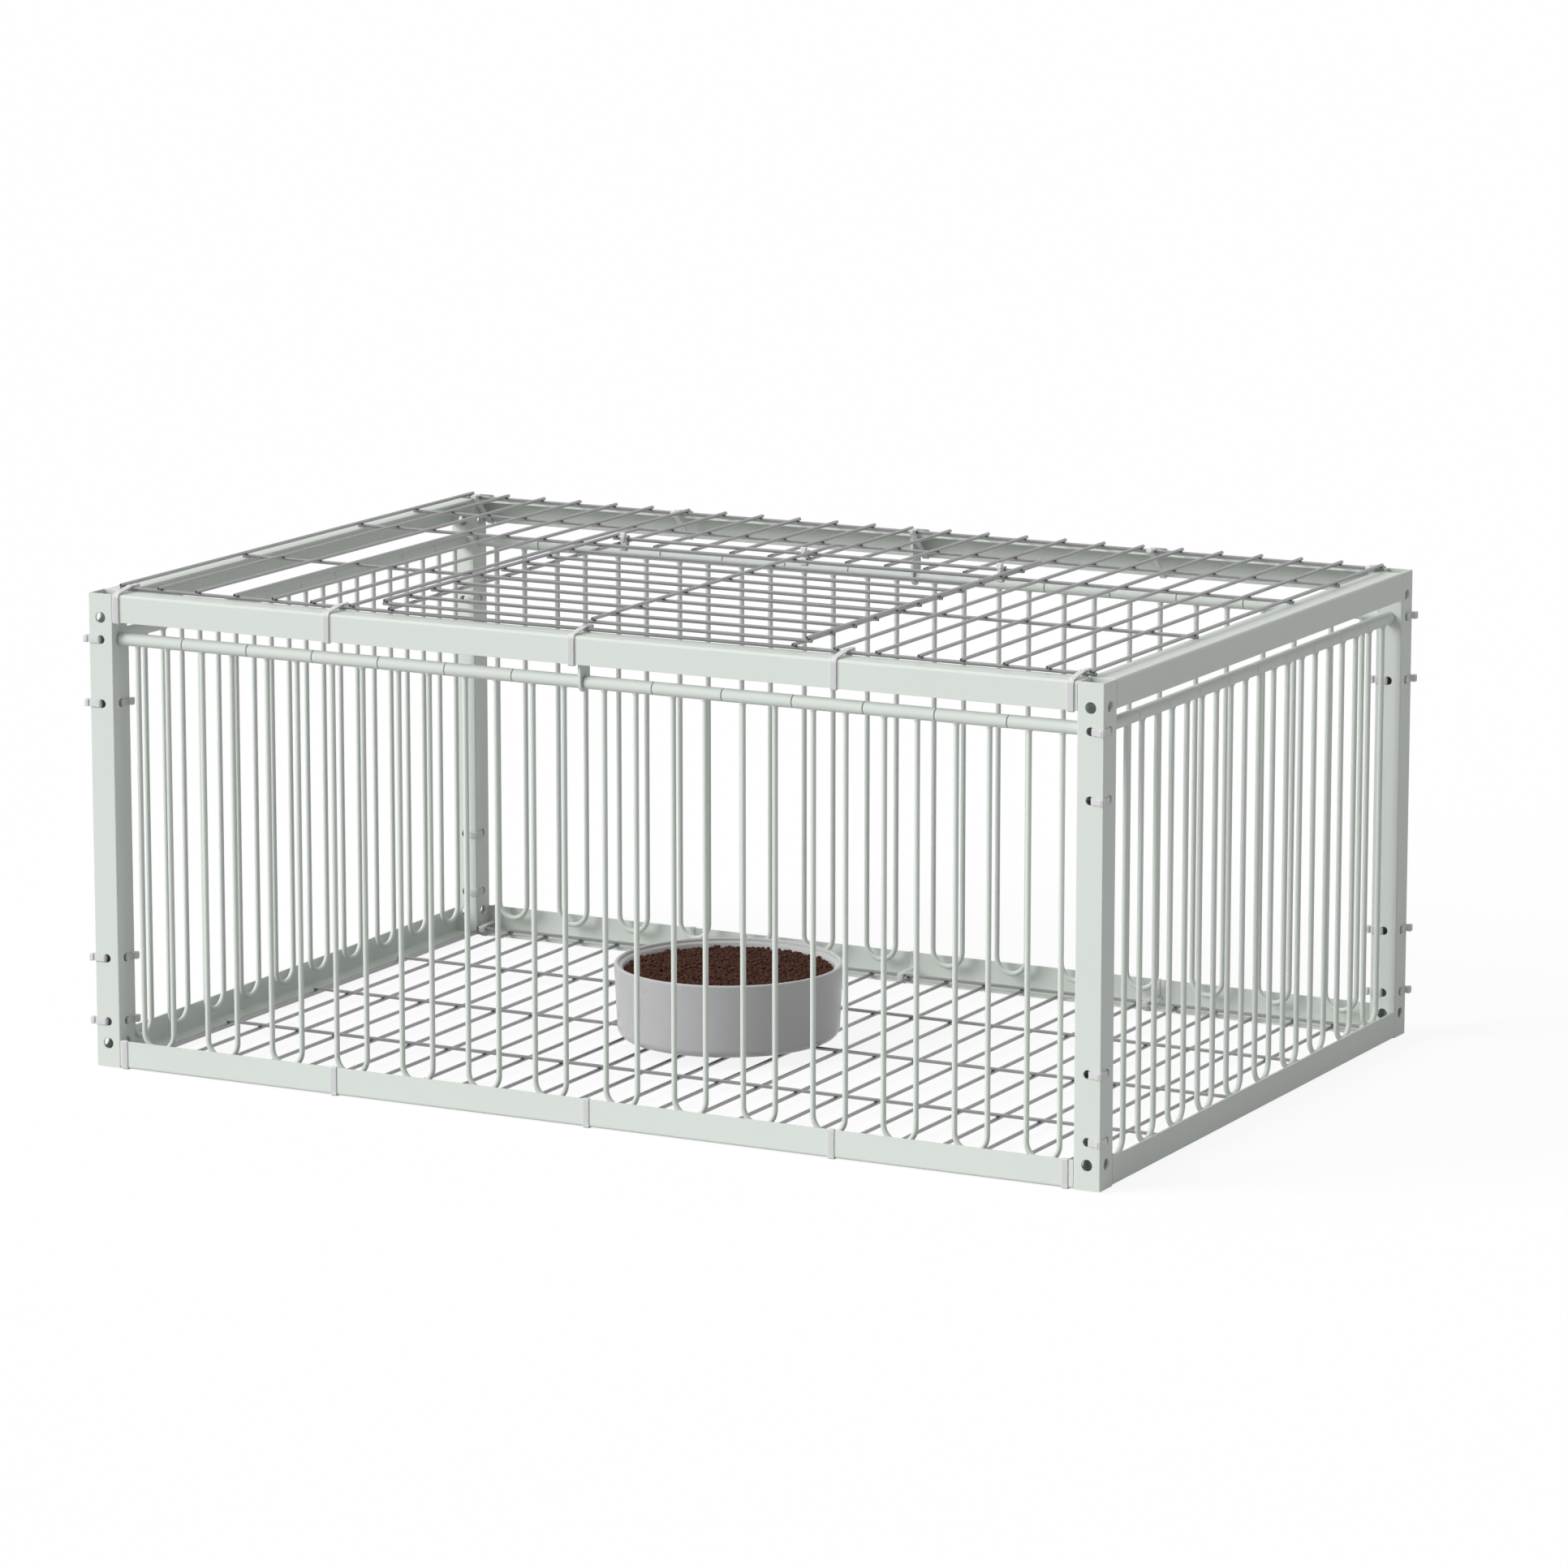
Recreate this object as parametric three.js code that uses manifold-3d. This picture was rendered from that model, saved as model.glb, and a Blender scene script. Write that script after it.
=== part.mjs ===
import * as THREE from "three";
import { mergeVertices } from "three/addons/utils/BufferGeometryUtils.js";
import Module from "manifold-3d";

// Pigeon trap: a wire-topped cage whose four sides are curtains of U-shaped bobs that swing inward only.
// Millimetres, +Z up, X along the long side, Y from front to rear, origin on the ground under the middle.

const wasm = await Module();
wasm.setup();

// Frame of square tube posts and bent angle rails
const LENGTH = 600;
const WIDTH = 400;
const HEIGHT = 260;
const SECTION = 15;
const POST_WALL = 1.2;
const POST_CORNER = 1.4;
const RAIL_WALL = 1.2;
const RAIL_BEND = 1.6;

// Holes through all four walls of a post, at these distances from each of its ends
const END_HOLE = 6;
const END_HOLE_AT = 13;
const TIE_HOLE = 4.6;
const ROD_HOLE_AT = 25;
const TIE_HOLE_AT = 60;

// Clearances: what lies on something, what turns in something, and how deep a welded strip sits in a rail
const SEAT_GAP = 0.3;
const RUNNING_GAP = 0.5;
const WELD = 0.2;
const CUT_OVERRUN = 1;

// Curtain rods and the bobs that swing on them
const ROD = 4;
const ROD_GRIP = 1.5;
const SLEEVE = 7;
const SLEEVE_GAP = 0.5;
const LONG_SIDE_BOBS = 14;
const SHORT_SIDE_BOBS = 10;
const BOB_WIRE = 3;
const BOB_SPREAD = 18.6;
const BOB_TIP = 9;

// Hangers that hold the long rods at mid-length
const HANGER = 1.5;
const HANGER_RIM = 2.9;

// Welded wire grids on top and on the floor: cross wires run along Y, stringers along X
const GRID_WIRE = 2;
const CROSS_WIRES = 25;
const CROSS_INSET = 13.2;
const TOP_STRINGERS = [-3, -1, 1, 2, 3];
const FLOOR_STRINGERS = [-2, -1, 0, 1, 2];
const STRINGER_INSET = 14.8;
const CROSS_OVERHANG = 3;
const STRINGER_OVERHANG = 2;
const FLOOR_POST_GAP = 0.6;

// Hatch in the top grid: the cross wires between its two side wires are cut behind its rear stringer
const HATCH_SIDE_WIRES = 5;
const STUB_TAIL = 3;

// Door over the hatch, tied to the rear stringer
const DOOR_WIRE = 2;
const DOOR_LAP = 5.5;
const DOOR_ROWS = 11;
const DOOR_PAST_STRINGER = 0.8;
const DOOR_BEHIND_STRINGER = 2;
const DOOR_TAIL = 24;
const DOOR_OVERHANG = 2;

// Cable ties that hinge the door
const TIE_WIDTH = 3.6;
const TIE_STRAP = 1.1;
const TIE_HEAD = 5;
const TIE_HEAD_RISE = 4;

// Round bait bowl on the floor grid
const BOWL_DIAMETER = 126;
const BOWL_HEIGHT = 41;
const BOWL_WALL = 2.4;
const BOWL_FOOT_RADIUS = 5;
const BOWL_TAPER = 2;
const BOWL_X = -19;
const BOWL_Y = 2;

// Heap of feed in the bowl: how far its edge lies below the rim, and how much higher its middle is
const FEED_BELOW_RIM = 4;
const FEED_CROWN = 2.5;

// Facets of round things
const WIRE_SIDES = 6;
const HOLE_SIDES = 6;
const SLEEVE_SIDES = 6;
const BOB_BEND_STEPS = 3;
const CORNER_STEPS = 2;
const HANGER_STEPS = 5;
const TIE_BEND_STEPS = 3;
const BOWL_SIDES = 24;
const BOWL_FOOT_STEPS = 2;
const FEED_CROWN_STEPS = 3;

// Corners closer than this are one corner
const MERGE_WITHIN = 1e-4;

// Levels and planes that several pieces share
const postX = (LENGTH - SECTION) / 2;
const postY = (WIDTH - SECTION) / 2;
const railLength = LENGTH - 2 * SECTION;
const railDepth = WIDTH - 2 * SECTION;
const rodZ = HEIGHT - ROD_HOLE_AT;
const stringerBase = HEIGHT + SEAT_GAP;
const crossBase = stringerBase + GRID_WIRE;
const floorCrossBase = RAIL_WALL + SEAT_GAP;
const floorStringerBase = floorCrossBase + GRID_WIRE;
const bobReach = rodZ - BOB_TIP;
const crossPitch = (LENGTH / 2 - CROSS_INSET) / ((CROSS_WIRES - 1) / 2);
const edgeStringerY = WIDTH / 2 - STRINGER_INSET;
const topStringerPitch = edgeStringerY / Math.max(...TOP_STRINGERS);
const floorStringerPitch = edgeStringerY / Math.max(...FLOOR_STRINGERS);
const rearStringerY = topStringerPitch;
const hingeY = rearStringerY + DOOR_BEHIND_STRINGER;
const hingeZ = crossBase + GRID_WIRE + SEAT_GAP + DOOR_WIRE / 2;
// the door sits this far to the right, so that its tails pass beside the top grid's cross wires
const doorShift = (GRID_WIRE + DOOR_WIRE) / 2 / Math.cos(Math.PI / WIRE_SIDES) + SEAT_GAP;

const coated = new THREE.MeshStandardMaterial({ color: "#d5dbd4", roughness: 0.45, metalness: 0 });
const zinc = new THREE.MeshStandardMaterial({ color: "#8f9190", roughness: 0.35, metalness: 0.9 });
const nylon = new THREE.MeshStandardMaterial({ color: "#eeeeec", roughness: 0.4, metalness: 0 });
const glazed = new THREE.MeshStandardMaterial({ color: "#d9d9d9", roughness: 0.3, metalness: 0 });

// A closed three.js geometry as a solid that can be joined and cut
function solid(geometry) {
  const bare = geometry.index ? geometry.clone() : geometry;
  bare.deleteAttribute("normal");
  bare.deleteAttribute("uv");
  const merged = mergeVertices(bare, MERGE_WITHIN);
  return new wasm.Manifold(
    new wasm.Mesh({
      numProp: 3,
      vertProperties: new Float32Array(merged.attributes.position.array),
      triVerts: new Uint32Array(merged.index.array),
    }),
  );
}

function geometryOf(body) {
  const mesh = body.getMesh();
  const geometry = new THREE.BufferGeometry();
  geometry.setAttribute("position", new THREE.BufferAttribute(mesh.vertProperties, 3));
  geometry.setIndex(new THREE.BufferAttribute(mesh.triVerts, 1));
  geometry.computeVertexNormals();
  return geometry;
}

function joined(pieces) {
  return pieces.reduce((whole, piece) => whole.add(piece));
}

// A round bar of the given size across its flats, standing along Z with its middle at the origin
function bar(across, length, sides) {
  const turn = Math.PI / sides;
  const geometry = new THREE.CylinderGeometry(
    across / 2 / Math.cos(turn), across / 2 / Math.cos(turn), length, sides, 1, false, turn,
  );
  return geometry.rotateX(Math.PI / 2);
}

function barAlongX(across, x0, x1, y, z, sides) {
  const geometry = bar(across, x1 - x0, sides).rotateY(Math.PI / 2);
  return solid(geometry.translate((x0 + x1) / 2, y, z));
}

function barAlongY(across, y0, y1, x, z, sides) {
  const geometry = bar(across, y1 - y0, sides).rotateX(Math.PI / 2);
  return solid(geometry.translate(x, (y0 + y1) / 2, z));
}

// A six-sided wire lying on the plane Z = base, so that wires laid across each other meet face to face
function wire(across, length, middle, base) {
  const corner = across / 2 / Math.cos(Math.PI / WIRE_SIDES);
  const section = Array.from({ length: WIRE_SIDES }, (_, i) => {
    const angle = (2 * Math.PI * i) / WIRE_SIDES;
    return new THREE.Vector2(middle + corner * Math.cos(angle), base + across / 2 + corner * Math.sin(angle));
  });
  return new THREE.ExtrudeGeometry(new THREE.Shape(section), { depth: length, bevelEnabled: false, steps: 1 });
}

function wireAlongX(across, x0, x1, y, base) {
  const geometry = wire(across, x1 - x0, y, base);
  return solid(geometry.applyMatrix4(new THREE.Matrix4().set(0, 0, 1, x0, 1, 0, 0, 0, 0, 1, 0, 0, 0, 0, 0, 1)));
}

function wireAlongY(across, y0, y1, x, base) {
  const geometry = wire(across, y1 - y0, x, base);
  return solid(geometry.applyMatrix4(new THREE.Matrix4().set(1, 0, 0, 0, 0, 0, -1, y1, 0, 1, 0, 0, 0, 0, 0, 1)));
}

// A square with round corners, as an outline or as a hole
function roundedSquare(size, corner) {
  const half = size / 2;
  const shape = new THREE.Path();
  shape.absarc(half - corner, half - corner, corner, 0, Math.PI / 2);
  shape.absarc(corner - half, half - corner, corner, Math.PI / 2, Math.PI);
  shape.absarc(corner - half, corner - half, corner, Math.PI, 1.5 * Math.PI);
  shape.absarc(half - corner, corner - half, corner, 1.5 * Math.PI, 2 * Math.PI);
  return shape;
}

// Post: square tube, open at both ends, with its holes drilled along X and along Y
function post() {
  const outline = new THREE.Shape(roundedSquare(SECTION, POST_CORNER).getPoints(CORNER_STEPS));
  const inner = SECTION / 2 - POST_WALL;
  outline.holes.push(
    new THREE.Path([
      new THREE.Vector2(-inner, -inner),
      new THREE.Vector2(-inner, inner),
      new THREE.Vector2(inner, inner),
      new THREE.Vector2(inner, -inner),
    ]),
  );
  let tube = solid(new THREE.ExtrudeGeometry(outline, { depth: HEIGHT, bevelEnabled: false, steps: 1 }));
  const reach = SECTION / 2 + CUT_OVERRUN;
  const rows = [
    [END_HOLE, END_HOLE_AT],
    [TIE_HOLE, ROD_HOLE_AT],
    [TIE_HOLE, TIE_HOLE_AT],
  ];
  for (const [across, fromEnd] of rows) {
    for (const z of [fromEnd, HEIGHT - fromEnd]) {
      tube = tube.subtract(barAlongX(across, -reach, reach, 0, z, HOLE_SIDES));
      tube = tube.subtract(barAlongY(across, -reach, reach, 0, z, HOLE_SIDES));
    }
  }
  return tube;
}

// Angle rail along X: outer flange on the -Y side, top flange turned inward, corner bent at Y = 0, Z = 0
function angleRail(length) {
  const profile = new THREE.Shape();
  profile.moveTo(SECTION, 0);
  profile.lineTo(RAIL_BEND, 0);
  profile.absarc(RAIL_BEND, -RAIL_BEND, RAIL_BEND, Math.PI / 2, Math.PI, false);
  profile.lineTo(0, -SECTION);
  profile.lineTo(RAIL_WALL, -SECTION);
  profile.absarc(RAIL_BEND, -RAIL_BEND, RAIL_BEND - RAIL_WALL, Math.PI, Math.PI / 2, true);
  profile.lineTo(SECTION, -RAIL_WALL);
  profile.closePath();
  const geometry = new THREE.ExtrudeGeometry(profile, {
    depth: length, bevelEnabled: false, steps: 1, curveSegments: CORNER_STEPS,
  });
  // profile x becomes Y, profile y becomes Z, and the extrusion runs along X
  geometry.applyMatrix4(new THREE.Matrix4().set(0, 0, 1, -length / 2, 1, 0, 0, 0, 0, 1, 0, 0, 0, 0, 0, 1));
  return solid(geometry);
}

// Flat hanger under a long top rail: a strip with a round end and a hole for the rod, in the rail's own place
function rodHanger() {
  const radius = ROD / 2 + SEAT_GAP + HANGER_RIM;
  const axisY = SECTION / 2;
  const axisZ = -ROD_HOLE_AT;
  const strip = new THREE.Shape();
  strip.moveTo(axisY - radius, -RAIL_WALL + WELD);
  strip.lineTo(axisY - radius, axisZ);
  strip.absarc(axisY, axisZ, radius, Math.PI, 2 * Math.PI, false);
  strip.lineTo(axisY + radius, -RAIL_WALL + WELD);
  strip.closePath();
  const geometry = new THREE.ExtrudeGeometry(strip, {
    depth: HANGER, bevelEnabled: false, steps: 1, curveSegments: HANGER_STEPS,
  });
  geometry.applyMatrix4(new THREE.Matrix4().set(0, 0, 1, -HANGER / 2, 1, 0, 0, 0, 0, 1, 0, 0, 0, 0, 0, 1));
  const reach = HANGER / 2 + CUT_OVERRUN;
  return solid(geometry).subtract(barAlongX(TIE_HOLE, -reach, reach, axisY, axisZ, HOLE_SIDES));
}

// Path of a bob's wire in the XZ plane: down one leg, round the bottom, up the other leg, one step a bend piece
class BobPath extends THREE.Curve {
  constructor(top, bottom, radius) {
    super();
    this.top = top;
    this.centre = bottom;
    this.radius = radius;
    this.steps = BOB_BEND_STEPS + 2;
  }
  angleAt(t) {
    const turn = (t * this.steps - 1) / BOB_BEND_STEPS;
    return Math.PI * (1 + Math.min(Math.max(turn, 0), 1));
  }
  getPoint(t, target = new THREE.Vector3()) {
    const angle = this.angleAt(t);
    const along = Math.max(1 - t * this.steps, t * this.steps - 1 - BOB_BEND_STEPS, 0);
    const z = this.centre + this.radius * Math.sin(angle) + along * (this.top - this.centre);
    return target.set(this.radius * Math.cos(angle), 0, z);
  }
  getPointAt(t, target) {
    return this.getPoint(t, target);
  }
  getTangentAt(t, target = new THREE.Vector3()) {
    const angle = this.angleAt(t);
    return target.set(-Math.sin(angle), 0, Math.cos(angle));
  }
}

function bobWire() {
  const corner = BOB_WIRE / 2 / Math.cos(Math.PI / WIRE_SIDES);
  const section = new THREE.Shape(
    Array.from({ length: WIRE_SIDES }, (_, i) => {
      const angle = (2 * Math.PI * (i + 0.5)) / WIRE_SIDES;
      return new THREE.Vector2(corner * Math.cos(angle), corner * Math.sin(angle));
    }),
  );
  const radius = BOB_SPREAD / 2;
  const sleeveWall = (SLEEVE - ROD) / 2 - RUNNING_GAP;
  const path = new BobPath(-SLEEVE / 2 + sleeveWall / 2, radius + BOB_WIRE / 2 - bobReach, radius);
  return solid(new THREE.ExtrudeGeometry(section, { extrudePath: path, steps: path.steps }));
}

// Bobs share one sleeve: the axis runs along X through the origin and the wires hang down from it
function bobs(pitch, count) {
  const half = (pitch * count - SLEEVE_GAP) / 2;
  const turn = Math.PI / SLEEVE_SIDES;
  const bore = (ROD / 2 + RUNNING_GAP) / Math.cos(turn);
  const skin = SLEEVE / 2 / Math.cos(turn);
  const profile = [[bore, -half], [skin, -half], [skin, half], [bore, half], [bore, -half]];
  const lathe = new THREE.LatheGeometry(profile.map(([r, y]) => new THREE.Vector2(r, y)), SLEEVE_SIDES, turn);
  let body = solid(lathe.rotateX(Math.PI / 2).rotateY(Math.PI / 2));
  for (let i = 0; i < count; i++) {
    body = body.add(bobWire().translate([(i - (count - 1) / 2) * pitch, 0, 0]));
  }
  return body;
}

// Top grid: stringers on the rails, cross wires welded on top of them, and the hatch cut out
function topGrid() {
  const endX = LENGTH / 2 - CROSS_INSET + STRINGER_OVERHANG;
  const endY = edgeStringerY + CROSS_OVERHANG;
  const wires = TOP_STRINGERS.map((row) =>
    wireAlongX(GRID_WIRE, -endX, endX, row * topStringerPitch, stringerBase),
  );
  for (let i = 0; i < CROSS_WIRES; i++) {
    const column = i - (CROSS_WIRES - 1) / 2;
    const start = Math.abs(column) < HATCH_SIDE_WIRES ? rearStringerY - STUB_TAIL : -endY;
    wires.push(wireAlongY(GRID_WIRE, start, endY, column * crossPitch, crossBase));
  }
  return joined(wires);
}

// Floor grid: cross wires on the long rails' lower flanges, stringers welded on top, fitted between the posts
function floorGrid() {
  const endX = LENGTH / 2 - SECTION - FLOOR_POST_GAP;
  const endY = edgeStringerY + CROSS_OVERHANG;
  const wires = FLOOR_STRINGERS.map((row) =>
    wireAlongX(GRID_WIRE, -endX, endX, row * floorStringerPitch, floorStringerBase),
  );
  for (let i = 0; i < CROSS_WIRES; i++) {
    const edge = endX - GRID_WIRE / 2;
    const x = Math.min(Math.max((i - (CROSS_WIRES - 1) / 2) * crossPitch, -edge), edge);
    wires.push(wireAlongY(GRID_WIRE, -endY, endY, x, floorCrossBase));
  }
  return joined(wires);
}

// Door with its hinge line, the middle of its rear wire, through the origin along X
function door() {
  const side = HATCH_SIDE_WIRES * crossPitch + DOOR_LAP;
  const edge = side + DOOR_OVERHANG;
  const front = -(hingeY + edgeStringerY + DOOR_PAST_STRINGER);
  const rows = Array.from({ length: DOOR_ROWS }, (_, i) =>
    wireAlongX(DOOR_WIRE, -edge, edge, (front * i) / (DOOR_ROWS - 1), -DOOR_WIRE / 2),
  );
  const long = [-side, 0, side].map((x) =>
    wireAlongY(DOOR_WIRE, front - DOOR_OVERHANG, DOOR_TAIL, x, DOOR_WIRE / 2),
  );
  return joined([...rows, ...long]);
}

// Cable tie looped round the door's rear wire, at the origin, and the stringer below and in front of it
function doorTie() {
  const drop = hingeZ - stringerBase - GRID_WIRE / 2;
  const span = Math.hypot(drop, DOOR_BEHIND_STRINGER);
  const lean = Math.atan2(DOOR_BEHIND_STRINGER, drop);
  const inner = GRID_WIRE / 2 / Math.cos(Math.PI / WIRE_SIDES) + SEAT_GAP;
  const loop = (radius) => {
    const path = new THREE.Path();
    path.absarc(0, 0, radius, 0, Math.PI, false);
    path.absarc(0, -span, radius, Math.PI, 2 * Math.PI, false);
    return path.getPoints(TIE_BEND_STEPS);
  };
  const strap = new THREE.Shape(loop(inner + TIE_STRAP));
  strap.holes.push(new THREE.Path(loop(inner)));
  const geometry = new THREE.ExtrudeGeometry(strap, { depth: TIE_WIDTH, bevelEnabled: false, steps: 1 });
  const head = new THREE.BoxGeometry(TIE_HEAD, TIE_HEAD_RISE, TIE_WIDTH);
  head.translate(0, inner + TIE_STRAP / 2 + TIE_HEAD_RISE / 2, TIE_WIDTH / 2);
  // outline x becomes Y, outline y becomes Z leaning back over the door's wire, and the width runs along X
  const place = new THREE.Matrix4()
    .makeRotationX(-lean)
    .multiply(new THREE.Matrix4().set(0, 0, 1, -TIE_WIDTH / 2, 1, 0, 0, 0, 0, 1, 0, 0, 0, 0, 0, 1));
  return solid(geometry.applyMatrix4(place)).add(solid(head.applyMatrix4(place)));
}

// Bait bowl standing on Z = 0: near-upright wall, rounded foot, and a crowned heap of feed that fills it
function filledBowl() {
  const rim = BOWL_DIAMETER / 2;
  const foot = rim - BOWL_TAPER;
  const level = BOWL_HEIGHT - FEED_BELOW_RIM;
  const leanPerRise = BOWL_TAPER / (BOWL_HEIGHT - BOWL_FOOT_RADIUS);
  const feedEdge = rim - BOWL_WALL - FEED_BELOW_RIM * leanPerRise;
  const profile = [new THREE.Vector2(0, 0)];
  for (let i = 0; i <= BOWL_FOOT_STEPS; i++) {
    const angle = ((i / BOWL_FOOT_STEPS) * Math.PI) / 2;
    const r = foot - BOWL_FOOT_RADIUS + BOWL_FOOT_RADIUS * Math.sin(angle);
    profile.push(new THREE.Vector2(r, BOWL_FOOT_RADIUS - BOWL_FOOT_RADIUS * Math.cos(angle)));
  }
  profile.push(new THREE.Vector2(rim, BOWL_HEIGHT), new THREE.Vector2(rim - BOWL_WALL, BOWL_HEIGHT));
  for (let i = 0; i < FEED_CROWN_STEPS; i++) {
    const angle = ((i / FEED_CROWN_STEPS) * Math.PI) / 2;
    profile.push(new THREE.Vector2(feedEdge * Math.cos(angle), level + FEED_CROWN * Math.sin(angle)));
  }
  profile.push(new THREE.Vector2(0, level + FEED_CROWN));
  return solid(new THREE.LatheGeometry(profile, BOWL_SIDES).rotateX(Math.PI / 2));
}

const trap = new THREE.Group();

function place(name, geometry, material, x = 0, y = 0, z = 0, parent = trap) {
  const mesh = new THREE.Mesh(geometry, material);
  mesh.name = name;
  mesh.position.set(x, y, z);
  parent.add(mesh);
  return mesh;
}

// Posts at the four corners
const postGeometry = geometryOf(post());
for (const [name, sideX, sideY] of [
  ["post_front_left", -1, -1],
  ["post_front_right", 1, -1],
  ["post_rear_left", -1, 1],
  ["post_rear_right", 1, 1],
]) {
  place(name, postGeometry, coated, sideX * postX, sideY * postY);
}

// Bobs that share a node, in a row of the given count that starts beside a post
function shareNodes(count, bobsPerNode) {
  const nodes = Array(Math.floor(count / bobsPerNode)).fill(bobsPerNode);
  return count % bobsPerNode ? [...nodes, count % bobsPerNode] : nodes;
}

// A long side has two rows, one on each side of its hanger, and a short side has one
function rowsOf(side) {
  if (!side.long) {
    const nodes = shareNodes(SHORT_SIDE_BOBS, side.bobsPerNode);
    return [{ start: -railDepth / 2, length: railDepth, count: SHORT_SIDE_BOBS, nodes }];
  }
  const count = LONG_SIDE_BOBS / 2;
  const length = (railLength - HANGER) / 2;
  const nodes = shareNodes(count, side.bobsPerNode);
  return [
    { start: -railLength / 2, length, count, nodes },
    { start: HANGER / 2, length, count, nodes: [...nodes].reverse() },
  ];
}

// Each side is built as the front one and turned about Z into its place
const hungRail = geometryOf(angleRail(railLength).add(rodHanger()));
const longRail = geometryOf(angleRail(railLength));
const shortRail = geometryOf(angleRail(railDepth));
const sides = [
  { name: "front", turn: 0, distance: WIDTH / 2, long: true, bobsPerNode: 1 },
  { name: "right", turn: Math.PI / 2, distance: LENGTH / 2, long: false, bobsPerNode: 1 },
  { name: "rear", turn: Math.PI, distance: WIDTH / 2, long: true, bobsPerNode: 2 },
  { name: "left", turn: -Math.PI / 2, distance: LENGTH / 2, long: false, bobsPerNode: 2 },
];
for (const side of sides) {
  const group = new THREE.Group();
  group.rotation.z = side.turn;
  trap.add(group);
  const outer = -side.distance;
  place(`rail_top_${side.name}`, side.long ? hungRail : shortRail, coated, 0, outer, HEIGHT, group);
  // the lower rail is rolled a quarter turn, so that its flange lies inward on the ground
  const lower = place(`rail_bottom_${side.name}`, side.long ? longRail : shortRail, coated, 0, outer, 0, group);
  lower.rotation.x = Math.PI / 2;
  const rodEnd = (side.long ? railLength : railDepth) / 2 + POST_WALL + ROD_GRIP;
  const axisY = outer + SECTION / 2;
  const rod = geometryOf(barAlongX(ROD, -rodEnd, rodEnd, 0, 0, HOLE_SIDES));
  place(`rod_${side.name}`, rod, coated, 0, axisY, rodZ, group);
  let number = 0;
  for (const row of rowsOf(side)) {
    const pitch = (row.length - SLEEVE_GAP) / row.count;
    let edge = row.start + SLEEVE_GAP / 2;
    for (const sharing of row.nodes) {
      number += 1;
      const kind = sharing > 1 ? "bob_pair" : "bob";
      const name = `${kind}_${side.name}_${String(number).padStart(2, "0")}`;
      place(name, geometryOf(bobs(pitch, sharing)), coated, edge + (sharing * pitch) / 2, axisY, rodZ, group);
      edge += sharing * pitch;
    }
  }
}

place("top_grid", geometryOf(topGrid()), zinc);
place("floor_grid", geometryOf(floorGrid()), zinc);
place("top_door", geometryOf(door()), zinc, doorShift, hingeY, hingeZ);
const tieGeometry = geometryOf(doorTie());
const besideWire = GRID_WIRE / 2 + SEAT_GAP + TIE_WIDTH / 2;
for (const [name, column, side] of [
  ["door_tie_left", -HATCH_SIDE_WIRES, 1],
  ["door_tie_middle", 0, -1],
  ["door_tie_right", HATCH_SIDE_WIRES, -1],
]) {
  place(name, tieGeometry, nylon, column * crossPitch + side * besideWire, hingeY, hingeZ);
}
const bowlZ = floorStringerBase + GRID_WIRE + SEAT_GAP;
place("bait_bowl", geometryOf(filledBowl()), glazed, BOWL_X, BOWL_Y, bowlZ);

export default trap;
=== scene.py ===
import math
import random

import bmesh
import bpy
from mathutils import Matrix, Vector


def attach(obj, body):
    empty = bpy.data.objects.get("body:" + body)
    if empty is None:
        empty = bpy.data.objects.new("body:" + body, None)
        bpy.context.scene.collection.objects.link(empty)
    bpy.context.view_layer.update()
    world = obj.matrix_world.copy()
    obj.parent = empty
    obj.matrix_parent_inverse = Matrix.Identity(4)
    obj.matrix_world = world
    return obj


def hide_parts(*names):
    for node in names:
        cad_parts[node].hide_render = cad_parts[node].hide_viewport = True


# Pigeon trap: every part of the cage is modelled again with round wires, thin sheet and soft edges.
# Metres; X along the long side, Y from front to rear, Z up, origin on the ground under the middle.

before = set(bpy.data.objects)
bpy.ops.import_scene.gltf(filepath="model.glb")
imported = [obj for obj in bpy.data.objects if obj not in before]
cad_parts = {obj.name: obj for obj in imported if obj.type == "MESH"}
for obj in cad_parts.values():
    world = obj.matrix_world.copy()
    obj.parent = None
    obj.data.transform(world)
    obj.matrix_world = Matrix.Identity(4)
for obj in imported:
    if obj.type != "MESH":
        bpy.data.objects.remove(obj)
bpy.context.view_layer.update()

MM = 0.001
QUARTER = math.pi / 2
AXES = "XYZ"
CLOSE = 1e-6  # what lies nearer than this is taken to be in one place

# How many sides round things get
WIRE_SIDES = 12
BOB_SIDES = 14
ROD_SIDES = 20
TUBE_SIDES = 28
FEED_SIDES = 64
BOWL_SIDES = 96

# Frame of square tube posts and bent angle rails
LENGTH = 600 * MM
WIDTH = 400 * MM
HEIGHT = 260 * MM
SECTION = 15 * MM
POST_WALL = 1.2 * MM
POST_CORNER = 0.7 * MM
RAIL_WALL = 1.2 * MM
RAIL_BEND = 1.6 * MM
END_HOLE = 6 * MM
END_HOLE_AT = 13 * MM
TIE_HOLE = 4.6 * MM
ROD_HOLE_AT = 25 * MM
TIE_HOLE_AT = 60 * MM
SHEET_EDGE = 0.18 * MM
WELD_GRIP = 0.2 * MM
POST_X = (LENGTH - SECTION) / 2
POST_Y = (WIDTH - SECTION) / 2
RAIL_LENGTH = LENGTH - 2 * SECTION
RAIL_DEPTH = WIDTH - 2 * SECTION

# Curtain rods, bobs and hangers
ROD = 4 * MM
ROD_Z = HEIGHT - ROD_HOLE_AT
ROD_GRIP = 1.5 * MM
SLEEVE = 7 * MM
SLEEVE_WALL = 1 * MM
SLEEVE_GAP = 0.5 * MM
SLEEVE_EDGE = 0.3 * MM
SLEEVE_STEEPEST = 60  # degrees between faces, from which an edge of a sleeve is eased
BOB_WIRE = 3 * MM
BOB_SPREAD = 18.6 * MM
BOB_CLEARANCE = 9 * MM
BOB_REACH = ROD_Z - BOB_CLEARANCE
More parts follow.
